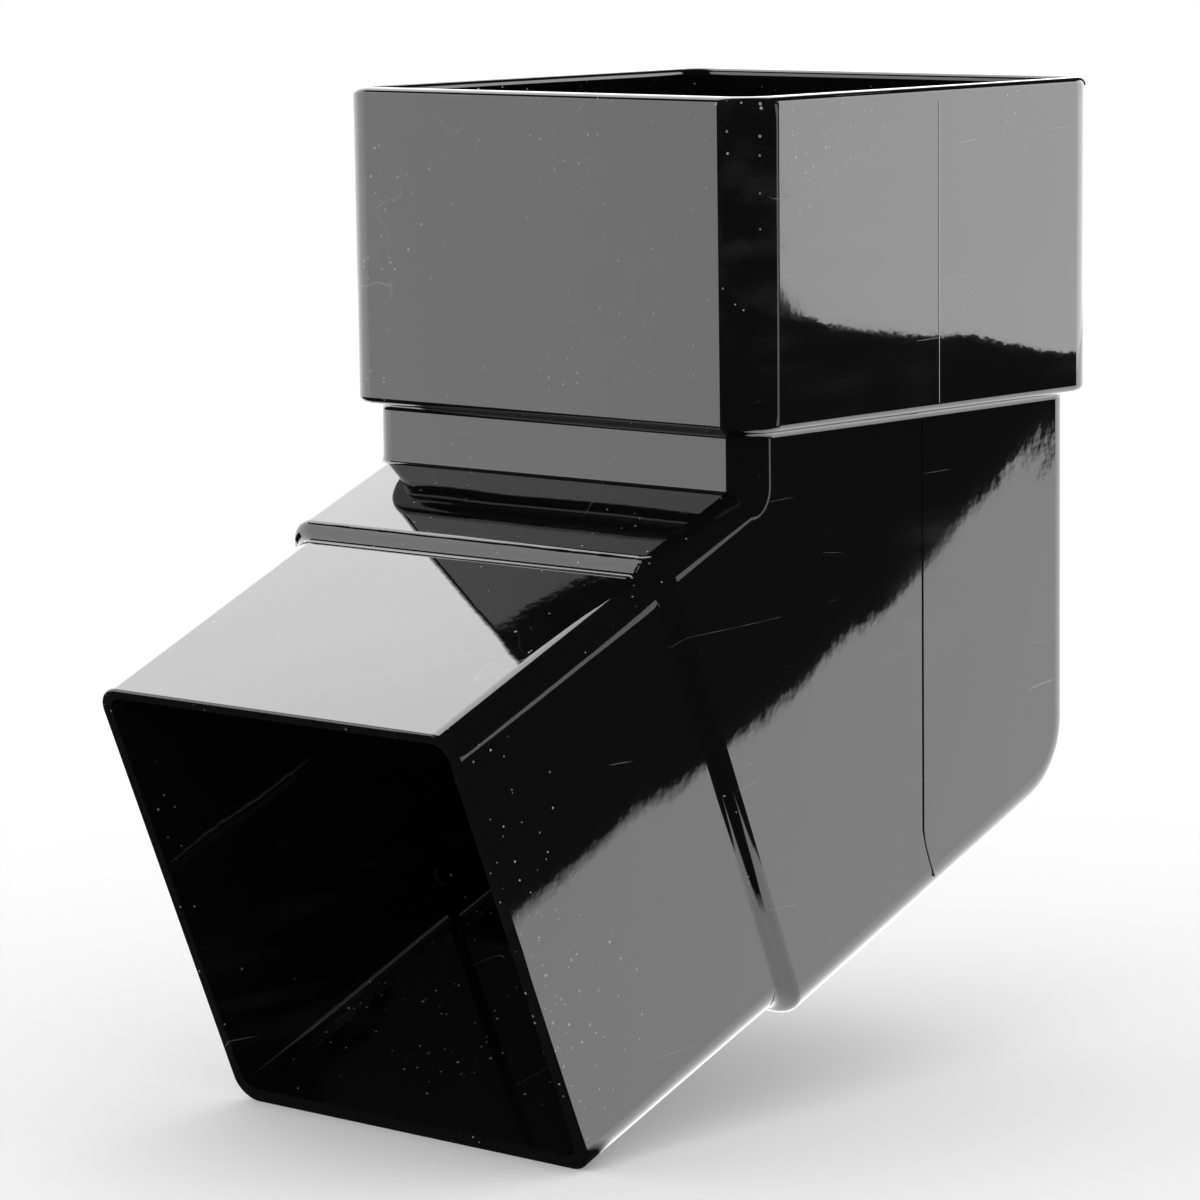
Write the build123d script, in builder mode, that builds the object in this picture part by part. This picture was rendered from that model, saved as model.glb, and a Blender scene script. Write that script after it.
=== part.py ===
from build123d import *
import os
from math import atan, degrees, radians, tan

# Square downpipe offset bend, injection moulded in one piece, in millimetres.
# The upper pipe stands in the socket, and the spigot goes down into the lower pipe.
# The origin is the middle of the ledge in the socket on which the upper pipe stands, and +Z runs up that pipe.
# The arm leaves the body on the front side, -Y, and slopes down.

# The square pipe that the bend joins, and the angle between the two pipes
pipe_width = 65.0
pipe_wall = 1.6
pipe_radius = 4.0
bend_angle = 112.5

# Socket, which opens by its draft from the ledge to the rim
socket_gap = 0.2
socket_wall = 2.25
socket_radius = 5.2
socket_depth = 38.4
socket_draft = 0.2
ledge_thickness = 2.3
rim_outer_round = 1.1
rim_inner_round = 0.9
underside_round = 0.9
underside_fillet = 0.9

# Body and arm, flush with the outside of the pipe
body_wall = 2.25
crease_drop = 7.5
crease_fillet = 1.0
heel_radius = 12.2
arm_length = 16.9

# Shoulder on which the lower pipe ends
shoulder_length = 1.0
shoulder_round = 1.4
shoulder_fillet = 1.2

# Spigot, which narrows by its taper on each side from the shoulder to the end
spigot_gap = 0.1
spigot_taper = 0.45
spigot_radius = 3.75
spigot_length = 38.0
end_round = 0.33

# Spigot bore, which opens by its taper on each side and sits a little high, so that the wall is thicker below
spigot_wall = 1.65
bore_rise = 0.43
bore_taper = 0.2

# Lead inside the arm, where the body's bore narrows to the spigot's
lead_length = 3.5
lead_setback = 1.4

# Widths
socket_bore = pipe_width + 2 * socket_gap
body_bore = pipe_width - 2 * body_wall
root_width = pipe_width - 2 * pipe_wall - 2 * spigot_gap
end_width = root_width - 2 * spigot_taper
end_bore = end_width - 2 * spigot_wall
root_bore = end_bore - 2 * bore_taper

# Heights on the socket's axis
underside = -ledge_thickness
rim = socket_depth
underside_width = socket_bore + 2 * socket_wall + 2 * underside * tan(radians(socket_draft))

# The two axes meet at the elbow, and the corners of the outline lie on the mitre line through it
slope = bend_angle - 90
mitre = 1 / tan(radians(bend_angle / 2))
elbow = underside - crease_drop - mitre * pipe_width / 2
arm = Plane((0, 0, elbow), x_dir=(1, 0, 0), z_dir=Vector(0, -1, 0).rotate(Axis.X, slope))
arm_axis = Axis(arm.origin, arm.z_dir)

# Places along the arm's axis, counted from the elbow
shoulder = mitre * pipe_width / 2 + arm_length
root = shoulder + shoulder_length
end = root + spigot_length
lead_end = shoulder - lead_setback
lead_start = lead_end - lead_length

# Drafts of the spigot, in degrees
spigot_draft = degrees(atan(spigot_taper / spigot_length))
bore_draft = degrees(atan(bore_taper / (end - lead_end)))
bore_radius = spigot_radius - spigot_wall

# How far from its plane an edge or a face may lie and still be picked
near = 0.01


def square(plane, width, radius, rise=0.0):
    """A rounded square on a plane, set higher than its middle by the rise."""
    with BuildSketch(plane) as section:
        with Locations((0, rise)):
            RectangleRounded(width, width, radius)
    return section.sketch


def bent_tube(width, radius, crease_radius, bend_radius, top, reach):
    """A solid square tube down the socket's axis and on along the arm, with rounded corners."""
    half = width / 2
    with BuildPart() as tube:
        with BuildSketch(Plane.YZ) as outline:
            with BuildLine():
                front = Line((-half, top), (-half, elbow + mitre * half))
                upper = PolarLine(front @ 1, reach - mitre * half, 180 + slope)
                tip = PolarLine(upper @ 1, width, slope - 90)
                lower = Line(tip @ 1, (half, elbow - mitre * half))
                back = Line(lower @ 1, (half, top))
                Line(back @ 1, front @ 0)
            make_face()
            fillet(outline.vertices().sort_by_distance(front @ 1)[0], crease_radius)
            fillet(outline.vertices().sort_by_distance(lower @ 1)[0], bend_radius)
        extrude(amount=half, both=True)
        top_face = tube.faces().sort_by(Axis.Z)[-1]
        tip_face = tube.faces().sort_by(arm_axis)[-1]
        sides = tube.faces().filter_by(Axis.X)
        fillet(sides.edges() - top_face.edges() - tip_face.edges(), radius)
    return tube.part


def flat_at(part, axis, place):
    """The flat face that crosses the axis at this place."""
    return part.faces().filter_by(GeomType.PLANE).filter_by_position(axis, place - near, place + near)[0]


# The hollow: the body's bore round the bend, the spigot's bore and the socket
with BuildPart() as hollow:
    add(bent_tube(body_bore, pipe_radius - body_wall, crease_fillet + body_wall,
                  heel_radius - body_wall, 0, lead_start))
    loft([square(arm.offset(lead_start), body_bore, pipe_radius - body_wall),
          square(arm.offset(lead_end), root_bore, bore_radius, bore_rise)], ruled=True)
    extrude(square(arm.offset(lead_end), root_bore, bore_radius, bore_rise),
            end - lead_end, taper=-bore_draft)
    extrude(square(Plane.XY, socket_bore, socket_radius - socket_wall), rim, taper=-socket_draft)

with BuildPart() as offset_bend:
    # Body and arm
    add(bent_tube(pipe_width, pipe_radius, crease_fillet, heel_radius, underside, shoulder))
    # Shoulder and spigot
    loft([square(arm.offset(shoulder), pipe_width, pipe_radius),
          square(arm.offset(root), root_width, spigot_radius)], ruled=True)
    extrude(square(arm.offset(root), root_width, spigot_radius), spigot_length, taper=spigot_draft)
    # Socket
    extrude(square(Plane.XY.offset(underside), underside_width, socket_radius),
            rim - underside, taper=-socket_draft)
    add(hollow.part, mode=Mode.SUBTRACT)

    # Soft edges of the shoulder, and of the spigot's end
    fillet(offset_bend.edges().filter_by_position(arm_axis, shoulder - near, shoulder + near), shoulder_round)
    fillet(offset_bend.edges().filter_by_position(arm_axis, root - near, root + near), shoulder_fillet)
    fillet(flat_at(offset_bend, arm_axis, end).outer_wire().edges(), end_round)
    # Rim of the socket, and its underside where it meets the body
    fillet(flat_at(offset_bend, Axis.Z, rim).outer_wire().edges(), rim_outer_round)
    fillet(flat_at(offset_bend, Axis.Z, rim).inner_wires()[0].edges(), rim_inner_round)
    fillet(flat_at(offset_bend, Axis.Z, underside).outer_wire().edges(), underside_round)
    fillet(flat_at(offset_bend, Axis.Z, underside).inner_wires()[0].edges(), underside_fillet)

offset_bend.part.label = "offset_bend"
os.makedirs("parts", exist_ok=True)
export_step(offset_bend.part, "parts/offset_bend.step")
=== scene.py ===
import math

import bpy
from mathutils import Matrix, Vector


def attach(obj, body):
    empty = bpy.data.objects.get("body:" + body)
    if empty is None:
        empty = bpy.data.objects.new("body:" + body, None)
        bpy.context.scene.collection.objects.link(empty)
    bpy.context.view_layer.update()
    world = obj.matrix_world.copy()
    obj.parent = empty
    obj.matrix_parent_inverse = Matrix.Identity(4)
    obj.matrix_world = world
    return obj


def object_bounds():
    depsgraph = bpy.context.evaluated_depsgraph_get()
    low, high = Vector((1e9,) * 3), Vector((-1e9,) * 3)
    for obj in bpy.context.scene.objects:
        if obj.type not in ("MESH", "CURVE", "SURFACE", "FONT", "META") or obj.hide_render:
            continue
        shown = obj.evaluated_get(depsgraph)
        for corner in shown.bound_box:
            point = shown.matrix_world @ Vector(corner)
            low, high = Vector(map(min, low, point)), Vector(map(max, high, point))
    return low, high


# Glossy black square downpipe offset bend, a single moulding, on a white studio floor.
# Metres, in the part's own frame: +Z up the socket. The arm leaves on the front side, -Y, and slopes down.

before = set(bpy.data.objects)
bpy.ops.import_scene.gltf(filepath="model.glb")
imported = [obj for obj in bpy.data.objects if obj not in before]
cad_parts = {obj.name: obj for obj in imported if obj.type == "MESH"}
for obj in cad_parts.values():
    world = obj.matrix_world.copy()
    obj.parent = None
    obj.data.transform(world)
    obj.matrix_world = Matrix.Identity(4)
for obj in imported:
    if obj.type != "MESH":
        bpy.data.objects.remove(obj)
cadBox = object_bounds()
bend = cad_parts["offset_bend"]
print("frame loaded")


# Small helpers for node trees

def newTree(owner):
    owner.use_nodes = True
    tree = owner.node_tree
    tree.nodes.clear()
    return tree


def node(tree, kind, **settings):
    made = tree.nodes.new(kind)
    for key, value in settings.items():
        setattr(made, key, value)
    return made


def feed(tree, target, source):
    # source is a socket to link, or a plain value
    if isinstance(source, bpy.types.NodeSocket):
        tree.links.new(source, target)
    else:
        target.default_value = source


def calc(tree, operation, a, b=None, clamp=False):
    made = node(tree, "ShaderNodeMath", operation=operation, use_clamp=clamp)
    feed(tree, made.inputs[0], a)
    if b is not None:
        feed(tree, made.inputs[1], b)
    return made.outputs[0]


def noiseOf(tree, vector, scale, detail=2.0, roughness=0.5):
    made = node(tree, "ShaderNodeTexNoise")
    feed(tree, made.inputs["Vector"], vector)
    feed(tree, made.inputs["Scale"], scale)
    feed(tree, made.inputs["Detail"], detail)
    feed(tree, made.inputs["Roughness"], roughness)
    return made.outputs["Fac"]


def rampOf(tree, value, low, high):
    # 0 below low, 1 above high
    made = node(tree, "ShaderNodeMapRange", clamp=True)
    feed(tree, made.inputs["Value"], value)
    feed(tree, made.inputs["From Min"], low)
    feed(tree, made.inputs["From Max"], high)
    return made.outputs["Result"]


def turned(tree, vector, angles, scale):
    made = node(tree, "ShaderNodeMapping", vector_type="POINT")
    feed(tree, made.inputs["Vector"], vector)
    made.inputs["Rotation"].default_value = [math.radians(a) for a in angles]
    made.inputs["Scale"].default_value = scale
    return made.outputs["Vector"]


def bumpOf(tree, height, distance, normal=None):
    made = node(tree, "ShaderNodeBump")
    feed(tree, made.inputs["Height"], height)
    feed(tree, made.inputs["Distance"], distance)
    feed(tree, made.inputs["Strength"], 1.0)
    if normal is not None:
        feed(tree, made.inputs["Normal"], normal)
    return made.outputs["Normal"]


# Black plastic: deep gloss, slightly wavy walls, dust, hairs and polish streaks

blackPlastic = {
    "colour": (0.003, 0.003, 0.0033),
    "ior": 1.5,
    "gloss": 0.022,                   # roughness of the clean skin
    "dullest": 0.11,                  # roughness where it was rubbed most
    "waveScale": 34.0,                # swells per metre in the moulded walls
    "waveHeight": 0.00016,
    "skinScale": 420.0,               # the fine unevenness of the skin
    "skinHeight": 0.0000035,
    "dustColour": (0.36, 0.36, 0.35),
    "dustCell": 1250.0,               # dust cells per metre
    "dustSize": 0.28,                 # radius of the largest speck, in cells
    "dustFrom": (0.86, 1.12),         # a cell holds a speck above the first number, a full one at the second
    "dustStrength": (-0.25, 0.9),     # ends of the ramp that sets how pale each speck is
    "clusterScale": 52.0,
    "clusterEdge": (0.42, 0.70),
    "clusterPull": 0.13,              # how much a cluster raises a cell's number
    "hairScale": 90.0,
    "hairTurn": (28, 0, 62),          # degrees
    "hairStretch": (1.0, 0.06, 1.0),
    "hairWidth": 0.0012,              # half the band of the noise that counts as a hair
    "hairPatchScale": 95.0,
    "hairPatchEdge": (0.60, 0.68),
    "hairPale": 0.22,                 # how pale a hair is, beside the palest speck
    "dirtRoughness": 0.55,            # what dust adds to the roughness
    "streakScale": 260.0,
    "streakTurn": (40, 12, 0),        # degrees
    "streakStretch": (1.0, 0.12, 1.0),
    "streakEdge": (0.45, 0.80),
    "streakPale": 0.05,               # how much a polish streak pales the black
    "patchScale": 26.0,
    "patchEdge": (0.50, 0.75),
}


def dustMask(tree, look, place):
    # dust lies in loose clusters, and a speck shows where its cell's own number is high
    cells = node(tree, "ShaderNodeTexVoronoi", feature="F1")
    feed(tree, cells.inputs["Vector"], place)
    feed(tree, cells.inputs["Scale"], look["dustCell"])
    cellNumber = node(tree, "ShaderNodeSeparateColor")
    feed(tree, cellNumber.inputs["Color"], cells.outputs["Color"])
    cluster = rampOf(tree, noiseOf(tree, place, look["clusterScale"], detail=3.0), *look["clusterEdge"])
    likely = calc(tree, "ADD", cellNumber.outputs["Red"],
                  calc(tree, "MULTIPLY", cluster, look["clusterPull"]))
    size = calc(tree, "MULTIPLY", rampOf(tree, likely, *look["dustFrom"]), look["dustSize"])
    onSpeck = calc(tree, "LESS_THAN", cells.outputs["Distance"], size)
    return calc(tree, "MULTIPLY", onSpeck,
                rampOf(tree, cellNumber.outputs["Green"], *look["dustStrength"]))


def hairMask(tree, look, place):
    # hairs and fine scratches: thin crossings of a stretched noise
    stretched = turned(tree, place, look["hairTurn"], look["hairStretch"])
    fromMiddle = calc(tree, "SUBTRACT", noiseOf(tree, stretched, look["hairScale"], detail=1.0), 0.5)
    thin = calc(tree, "LESS_THAN", calc(tree, "ABSOLUTE", fromMiddle), look["hairWidth"])
    patch = rampOf(tree, noiseOf(tree, place, look["hairPatchScale"], detail=1.0), *look["hairPatchEdge"])
    return calc(tree, "MULTIPLY", calc(tree, "MULTIPLY", thin, patch), look["hairPale"])


def wearMask(tree, look, place):
    # polish streaks run aslant, in patches
    stretched = turned(tree, place, look["streakTurn"], look["streakStretch"])
    streak = rampOf(tree, noiseOf(tree, stretched, look["streakScale"], detail=3.0), *look["streakEdge"])
    patch = rampOf(tree, noiseOf(tree, place, look["patchScale"]), *look["patchEdge"])
    return calc(tree, "MULTIPLY", streak, patch)


def makeBlackPlastic(look):
    material = bpy.data.materials.new("blackPlastic")
    tree = newTree(material)
    place = node(tree, "ShaderNodeTexCoord").outputs["Object"]
    dirt = calc(tree, "MAXIMUM", dustMask(tree, look, place), hairMask(tree, look, place))
    wear = wearMask(tree, look, place)

    colour = node(tree, "ShaderNodeMix", data_type="RGBA")
    paleness = calc(tree, "MAXIMUM", dirt, calc(tree, "MULTIPLY", wear, look["streakPale"]))
    feed(tree, colour.inputs[0], paleness)
    feed(tree, colour.inputs[6], look["colour"] + (1.0,))
    feed(tree, colour.inputs[7], look["dustColour"] + (1.0,))

    worn = calc(tree, "ADD", look["gloss"],
                calc(tree, "MULTIPLY", wear, look["dullest"] - look["gloss"]))
    roughness = calc(tree, "ADD", worn, calc(tree, "MULTIPLY", dirt, look["dirtRoughness"]), clamp=True)

    # the walls swell a little, as moulded walls do, and the skin is not quite even
    swell = bumpOf(tree, noiseOf(tree, place, look["waveScale"], detail=1.0), look["waveHeight"])
    skin = bumpOf(tree, noiseOf(tree, place, look["skinScale"]), look["skinHeight"], swell)

    plastic = node(tree, "ShaderNodeBsdfPrincipled")
    feed(tree, plastic.inputs["IOR"], look["ior"])
    feed(tree, plastic.inputs["Base Color"], colour.outputs[2])
    feed(tree, plastic.inputs["Roughness"], roughness)
    feed(tree, plastic.inputs["Normal"], skin)
    out = node(tree, "ShaderNodeOutputMaterial")
    feed(tree, out.inputs["Surface"], plastic.outputs["BSDF"])
    return material


plasticMaterial = makeBlackPlastic(blackPlastic)
for slot in bend.material_slots:
    slot.material = plasticMaterial
print("bend finished in black plastic")


# Parting line: the thin flash that the two mould halves left down both side walls

partingLine = {
    "halfWidth": 0.00016,
    "proud": 0.00004,             # half its height, as its middle lies in the wall's face
    "sides": 10,                  # of its cross-section
    "socketSetback": 0.00115,     # how far behind the middle it runs, on the socket
    "bodySetback": 0.0008,        # and on the body
    "socketWall": 0.03493,        # just inside the socket's side wall at the ledge
    "socketDraft": 0.2,           # degrees by which that wall leans out
    "socketTop": 0.0366,
    "socketFoot": -0.0012,
    "bodyWall": 0.0325,
    "bodyTop": -0.0034,
    "turnAt": -0.0560,            # where it starts to swing square to the sloping underside
    "turnSteps": (0.33, 0.66, 1.0),
    "turnLate": 1.35,             # over 1, most of the swing comes near the foot
    "foot": (0.00305, -0.0624),   # its y and z at the underside
}


def partingRun(look, side):
    # two runs down one side wall, as (x, y, z) points on the wall
    lean = math.tan(math.radians(look["socketDraft"]))
    socket = [(side * (look["socketWall"] + lean * z), look["socketSetback"], z)
              for z in (look["socketTop"], look["socketFoot"])]
    bodyX = side * look["bodyWall"]
    footY, footZ = look["foot"]
    body = [(bodyX, look["bodySetback"], z) for z in (look["bodyTop"], look["turnAt"])]
    for step in look["turnSteps"]:
        y = look["bodySetback"] + (footY - look["bodySetback"]) * step ** look["turnLate"]
        z = look["turnAt"] + (footZ - look["turnAt"]) * step
        body.append((bodyX, y, z))
    return [socket, body]


def beadTree(material, sides):
    # a low bead along each curve: a flattened circle swept down the line
    tree = bpy.data.node_groups.new("beadAlongLine", "GeometryNodeTree")
    tree.interface.new_socket("Geometry", in_out="INPUT", socket_type="NodeSocketGeometry")
    inputs = [tree.interface.new_socket(name, in_out="INPUT", socket_type="NodeSocketFloat").identifier
              for name in ("Half Width", "Proud")]
    tree.interface.new_socket("Geometry", in_out="OUTPUT", socket_type="NodeSocketGeometry")
    entry = node(tree, "NodeGroupInput")
    circle = node(tree, "GeometryNodeCurvePrimitiveCircle")
    feed(tree, circle.inputs["Resolution"], sides)
    feed(tree, circle.inputs["Radius"], entry.outputs["Half Width"])
    scale = node(tree, "ShaderNodeCombineXYZ")
    feed(tree, scale.inputs["X"], 1.0)
    feed(tree, scale.inputs["Y"], calc(tree, "DIVIDE", entry.outputs["Proud"], entry.outputs["Half Width"]))
    feed(tree, scale.inputs["Z"], 1.0)
    flat = node(tree, "GeometryNodeTransform")
    feed(tree, flat.inputs["Geometry"], circle.outputs["Curve"])
    feed(tree, flat.inputs["Scale"], scale.outputs["Vector"])
    sweep = node(tree, "GeometryNodeCurveToMesh")
    feed(tree, sweep.inputs["Curve"], entry.outputs["Geometry"])
    feed(tree, sweep.inputs["Profile Curve"], flat.outputs["Geometry"])
    feed(tree, sweep.inputs["Fill Caps"], True)
    real = node(tree, "GeometryNodeRealizeInstances")
    feed(tree, real.inputs["Geometry"], sweep.outputs["Mesh"])
    smooth = node(tree, "GeometryNodeSetShadeSmooth")
    feed(tree, smooth.inputs["Geometry"], real.outputs["Geometry"])
    finish = node(tree, "GeometryNodeSetMaterial")
    feed(tree, finish.inputs["Geometry"], smooth.outputs["Geometry"])
    feed(tree, finish.inputs["Material"], material)
    leave = node(tree, "NodeGroupOutput")
    feed(tree, leave.inputs["Geometry"], finish.outputs["Geometry"])
    return tree, inputs


def makePartingLine(look, material):
    line = bpy.data.curves.new("partingLine", "CURVE")
    line.dimensions = "3D"
    line.twist_mode = "Z_UP"
    for side in (-1, 1):
        for run in partingRun(look, side):
            spline = line.splines.new("POLY")
            spline.points.add(len(run) - 1)
            for point, (x, y, z) in zip(spline.points, run):
                point.co = (x, y, z, 1.0)
    holder = bpy.data.objects.new("partingCurve", line)
    bpy.context.scene.collection.objects.link(holder)
    tree, (widthInput, proudInput) = beadTree(material, look["sides"])
    beads = holder.modifiers.new("beads", "NODES")
    beads.node_group = tree
    beads[widthInput] = look["halfWidth"]
    beads[proudInput] = look["proud"]
    bpy.context.view_layer.update()
    made = bpy.data.meshes.new_from_object(holder.evaluated_get(bpy.context.evaluated_depsgraph_get()))
    bpy.data.objects.remove(holder)
    piece = bpy.data.objects.new("parting_line", made)
    bpy.context.scene.collection.objects.link(piece)
    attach(piece, "root")
    return piece


partingPiece = makePartingLine(partingLine, plasticMaterial)
print("parting line made, faces:", len(partingPiece.data.polygons))


# World: white for the camera, plain light for matt surfaces, and a dark room for gloss

world = {
    "backdrop": 1.0,
    "diffuseLight": 1.0,
    "surround": 0.03,
}


def makeWorld(look):
    studio = bpy.data.worlds.new("studio")
    bpy.context.scene.world = studio
    tree = newTree(studio)
    rays = node(tree, "ShaderNodeLightPath")
    level = node(tree, "ShaderNodeMix", data_type="FLOAT")
    feed(tree, level.inputs[0], rays.outputs["Is Glossy Ray"])
    feed(tree, level.inputs[2], look["diffuseLight"])
    feed(tree, level.inputs[3], look["surround"])
    room = node(tree, "ShaderNodeBackground")
    feed(tree, room.inputs["Color"], (1, 1, 1, 1))
    feed(tree, room.inputs["Strength"], level.outputs[0])
    white = node(tree, "ShaderNodeBackground")
    feed(tree, white.inputs["Color"], (1, 1, 1, 1))
    feed(tree, white.inputs["Strength"], look["backdrop"])
    pick = node(tree, "ShaderNodeMixShader")
    feed(tree, pick.inputs[0], rays.outputs["Is Camera Ray"])
    feed(tree, pick.inputs[1], room.outputs[0])
    feed(tree, pick.inputs[2], white.outputs[0])
    out = node(tree, "ShaderNodeOutputWorld")
    feed(tree, out.inputs["Surface"], pick.outputs[0])


makeWorld(world)


# Floor: matt white for the camera. Gloss sees a bright sheet on it, and the dark room past the sheet's edges

floor = {
    "size": 6.0,
    "colour": (0.9, 0.9, 0.9),
    "roughness": 0.9,
    "ownWhite": 0.12,         # so that it meets the backdrop with no edge
    "sheet": 3.4,             # how bright the sheet is
    "sheetRight": 0.120,      # x of its right edge where y is 0
    "sheetSlant": 0.57,       # how far that edge moves right for each metre back
    "sheetFront": -0.055,     # y of its front edge, so that the spigot's end face stays dark
    "sheetSoft": 0.004,       # width over which both edges fade
}


def makeFloor(look, surround):
    half = look["size"] / 2
    lowest = cadBox[0][2]
    mesh = bpy.data.meshes.new("floor")
    corners = [(x, y, lowest) for x, y in ((-half, -half), (half, -half), (half, half), (-half, half))]
    mesh.from_pydata(corners, [], [(0, 1, 2, 3)])
    ground = bpy.data.objects.new("floor", mesh)
    bpy.context.scene.collection.objects.link(ground)
    material = bpy.data.materials.new("whiteFloor")
    tree = newTree(material)
    paint = node(tree, "ShaderNodeBsdfPrincipled")
    feed(tree, paint.inputs["Base Color"], look["colour"] + (1.0,))
    feed(tree, paint.inputs["Roughness"], look["roughness"])
    feed(tree, paint.inputs["Specular IOR Level"], 0.0)
    feed(tree, paint.inputs["Emission Color"], (1, 1, 1, 1))
    feed(tree, paint.inputs["Emission Strength"], look["ownWhite"])

    place = node(tree, "ShaderNodeSeparateXYZ")
    feed(tree, place.inputs[0], node(tree, "ShaderNodeTexCoord").outputs["Object"])
    shift = calc(tree, "MULTIPLY", place.outputs["Y"], look["sheetSlant"])
    edge = calc(tree, "ADD", look["sheetRight"], shift)
    inside = rampOf(tree, calc(tree, "SUBTRACT", edge, place.outputs["X"]), 0.0, look["sheetSoft"])
    behind = rampOf(tree, place.outputs["Y"], look["sheetFront"], look["sheetFront"] + look["sheetSoft"])
    onSheet = calc(tree, "MULTIPLY", inside, behind)
    glow = node(tree, "ShaderNodeEmission")
    feed(tree, glow.inputs["Strength"],
         calc(tree, "ADD", calc(tree, "MULTIPLY", onSheet, look["sheet"]), surround))

    pick = node(tree, "ShaderNodeMixShader")
    feed(tree, pick.inputs[0], node(tree, "ShaderNodeLightPath").outputs["Is Glossy Ray"])
    feed(tree, pick.inputs[1], paint.outputs["BSDF"])
    feed(tree, pick.inputs[2], glow.outputs["Emission"])
    out = node(tree, "ShaderNodeOutputMaterial")
    feed(tree, out.inputs["Surface"], pick.outputs[0])
    mesh.materials.append(material)


makeFloor(floor, world["surround"])


# Cards: lit shapes that only the gloss of the bend sees

def rectangle(side, low, otherSide, high):
    return [(side, low), (otherSide, low), (otherSide, high), (side, high)]


toFrontLeft = (-0.68, -0.733, 0)      # where the front wall mirrors the camera's line of sight
toBackRight = (0.65, 0.76, 0)         # and where the side walls mirror it

# each outline is (sideways, up) in metres, on a plane that stands at the distance in the outward direction;
# sideways runs to the left of someone who stands at the bend and looks outward
cards = {
    # mirrored by the front wall; it ends short of the camera, so that the near corners stay black
    "frontBox": {"level": 3.3, "distance": 0.45, "outward": toFrontLeft,
                 "outline": rectangle(-0.50, -0.25, 0.066, 0.35)},
    # mirrored by the sloping tops
    "overheadBox": {"level": 4.6, "distance": 0.50, "outward": (-0.665, 0.418, 0.618),
                    "outline": rectangle(-0.30, -0.22, 0.30, 0.30)},
    # its lower edge crosses the socket's side wall
    "sideBox": {"level": 5.0, "distance": 0.45, "outward": toBackRight,
                "outline": [(-0.045, -0.022), (-0.039, -0.029), (-0.010, -0.033), (0.019, -0.037),
                            (0.40, -0.040), (0.40, 0.30), (-0.045, 0.30)]},
    # draws a line along the side of each corner
    "strip": {"level": 2.7, "distance": 0.46, "outward": toBackRight,
              "outline": rectangle(-0.075, -0.065, -0.048, 0.30)},
    # two fainter strips draw thin lines inside the black bands of the rounded corners
    "cornerStripRight": {"level": 1.8, "distance": 0.46, "outward": toBackRight,
                         "outline": rectangle(-0.170, -0.10, -0.135, 0.15)},
    "cornerStripFront": {"level": 1.8, "distance": 0.46, "outward": toFrontLeft,
                         "outline": rectangle(0.105, -0.20, 0.125, 0.20)},
    # a white wall behind the set
    "wall": {"level": 3.0, "distance": 1.2, "outward": (-0.9, 0.45, 0),
             "outline": rectangle(-0.9, -1.0, 0.9, 1.2)},
}


def cardCorners(look):
    away = Vector(look["outward"]).normalized()
    left = Vector((-away.y, away.x, 0)).normalized()
    up = away.cross(left)
    return [away * look["distance"] + left * sideways + up * height for sideways, height in look["outline"]]


def makeCard(name, look):
    corners = [tuple(corner) for corner in cardCorners(look)]
    mesh = bpy.data.meshes.new(name)
    mesh.from_pydata(corners, [], [tuple(range(len(corners)))])
    card = bpy.data.objects.new(name, mesh)
    bpy.context.scene.collection.objects.link(card)
    material = bpy.data.materials.new(name)
    tree = newTree(material)
    glow = node(tree, "ShaderNodeEmission")
    feed(tree, glow.inputs["Color"], (1, 1, 1, 1))
    feed(tree, glow.inputs["Strength"], look["level"])
    out = node(tree, "ShaderNodeOutputMaterial")
    feed(tree, out.inputs["Surface"], glow.outputs["Emission"])
    mesh.materials.append(material)
    card.visible_camera = False
    card.visible_diffuse = False
    card.visible_shadow = False
    card.visible_transmission = False


for name, look in cards.items():
    makeCard(name, look)
print("stage made")


# Camera: where the photograph was taken from

camera = {
    "place": (0.4367151, -0.5055715, 0.0658556),
    "turn": (81.92024, 0.67762, 42.11674),   # degrees
    "lens": 154.8075,                        # millimetres, as the sensor's width is
    "sensor": 36.0,
    "clip": (0.01, 20.0),
}


def makeCamera(look):
    data = bpy.data.cameras.new("camera")
    data.lens = look["lens"]
    data.sensor_width = look["sensor"]
    data.clip_start, data.clip_end = look["clip"]
    holder = bpy.data.objects.new("camera", data)
    holder.location = look["place"]
    holder.rotation_euler = [math.radians(a) for a in look["turn"]]
    bpy.context.scene.collection.objects.link(holder)
    bpy.context.scene.camera = holder


makeCamera(camera)
bpy.context.scene.view_settings.view_transform = "Standard"
print("camera set")
